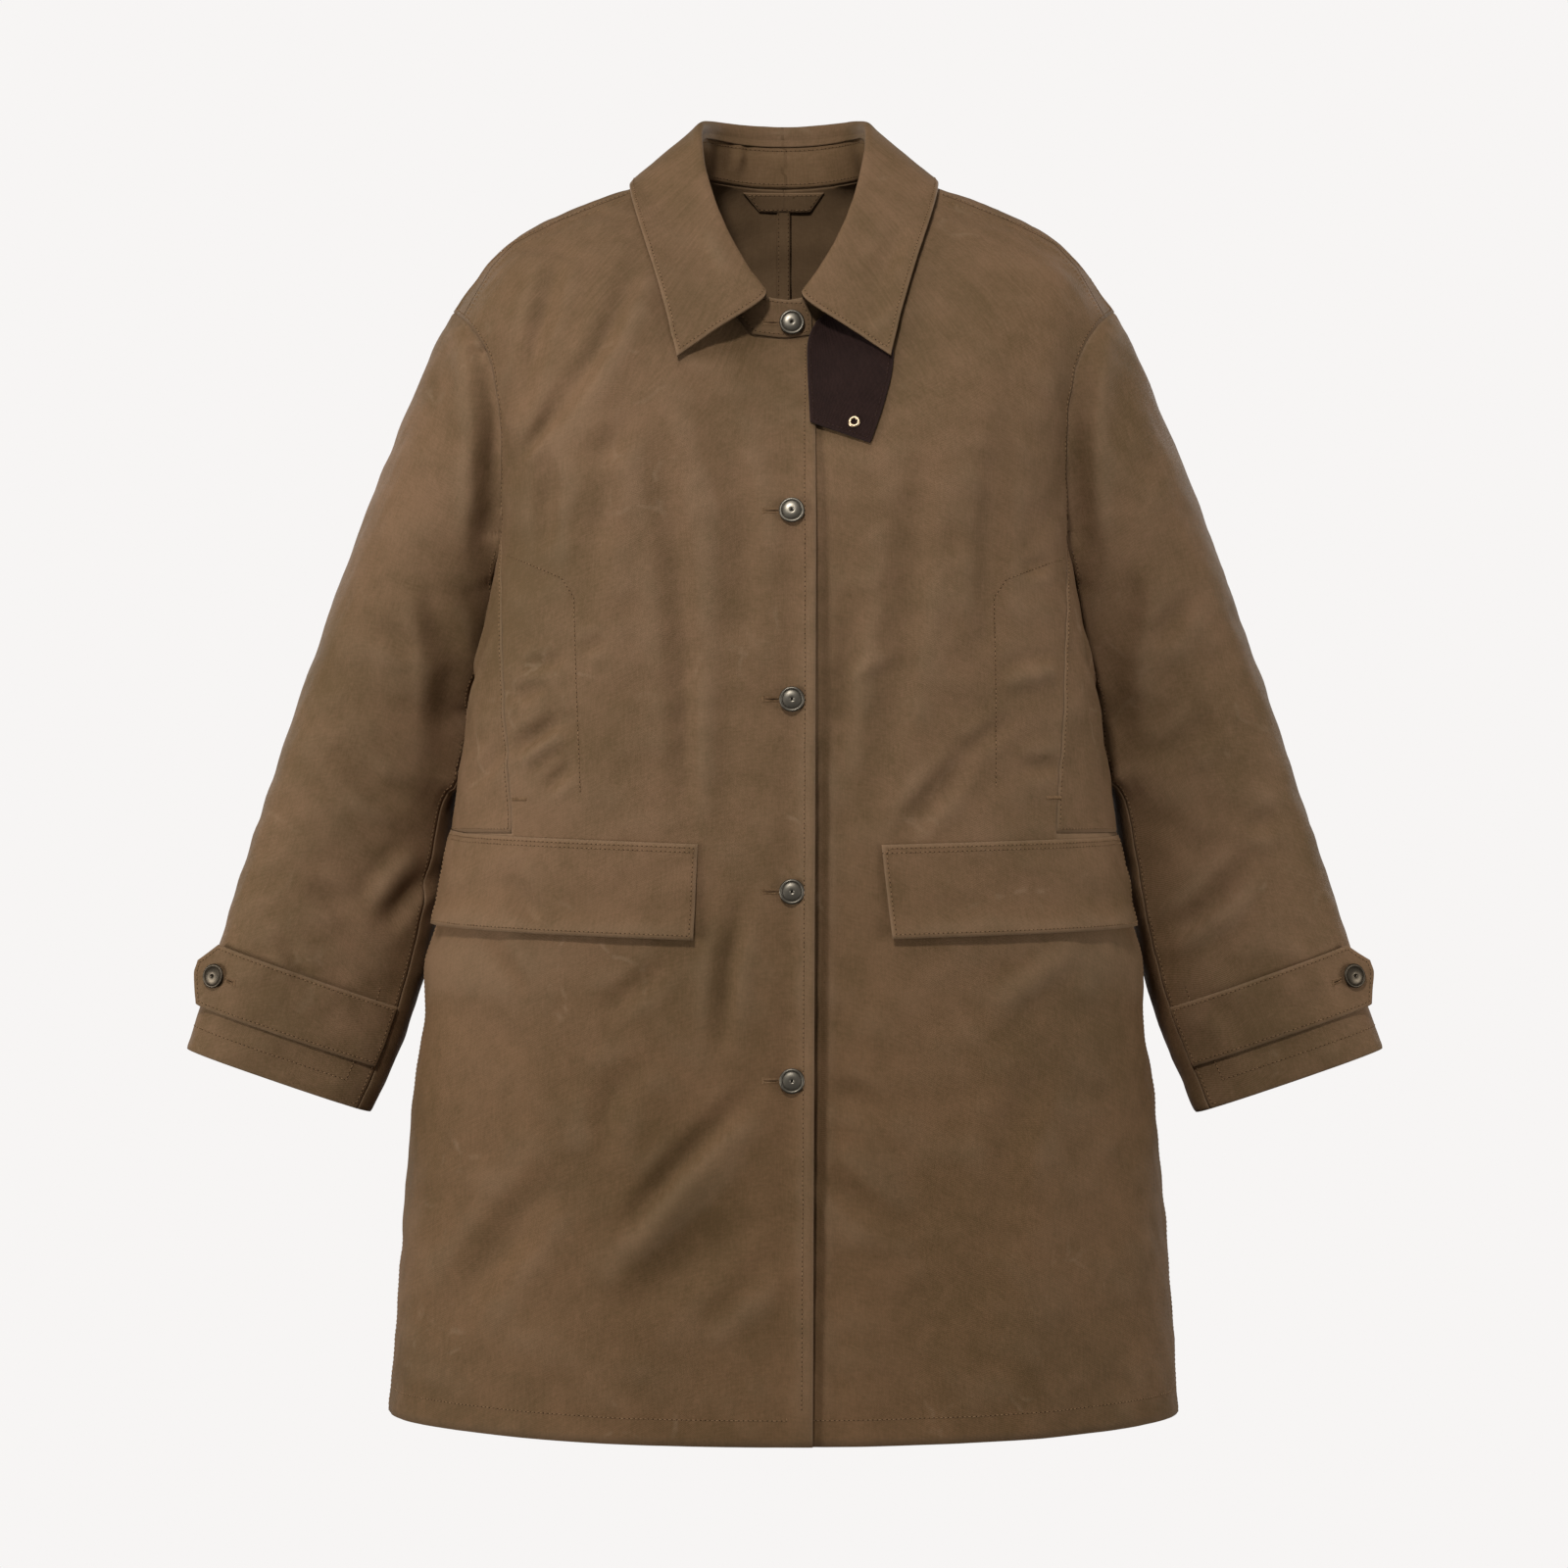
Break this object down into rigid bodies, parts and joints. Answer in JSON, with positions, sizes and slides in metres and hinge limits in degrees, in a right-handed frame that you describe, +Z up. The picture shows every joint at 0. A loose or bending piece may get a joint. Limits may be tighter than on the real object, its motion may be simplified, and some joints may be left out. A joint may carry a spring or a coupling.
{
  "type": "waxed cotton coat",
  "caption": "Worn-form, hollow waxed-cotton coat with a buttoned single-breasted front, turned-down collar, dark throat tab, flap pockets and buttoned cuff tabs.",
  "frame": {"origin": "middle of the neck, level with the back neck seam, where the wearer's neck and shoulders hold the coat", "axes": "+Z up, -Y the way the coat's front faces, +X the wearer's left"},
  "size_m": [0.8908, 0.326, 0.9695],
  "materials": {
    "waxed_cotton": "dry waxed olive-brown cotton, matt with a low sheen",
    "tab_cloth": "very dark brown brushed cloth",
    "button_metal": "antiqued dark gunmetal",
    "eyelet_metal": "pale brushed brass"
  },
  "bodies": {
    "root": {"front_right": "waxed_cotton", "front_left": "waxed_cotton", "side_front_right": "waxed_cotton", "side_front_left": "waxed_cotton", "back_right": "waxed_cotton", "back_left": "waxed_cotton", "sleeve_upper_right": "waxed_cotton", "sleeve_upper_left": "waxed_cotton", "sleeve_under_right": "waxed_cotton", "sleeve_under_left": "waxed_cotton", "cuff_tab_right": "waxed_cotton", "cuff_tab_left": "waxed_cotton", "pocket_flap_right": "waxed_cotton", "pocket_flap_left": "waxed_cotton", "collar_stand": "waxed_cotton", "collar_fall": "waxed_cotton", "hanger_loop": "waxed_cotton", "throat_tab": "tab_cloth", "throat_tab_eyelet": "eyelet_metal", "front_button_1": "button_metal", "front_button_2": "button_metal", "front_button_3": "button_metal", "front_button_4": "button_metal", "front_button_5": "button_metal", "cuff_button_right": "button_metal", "cuff_button_left": "button_metal"}
  },
  "joints": []
}
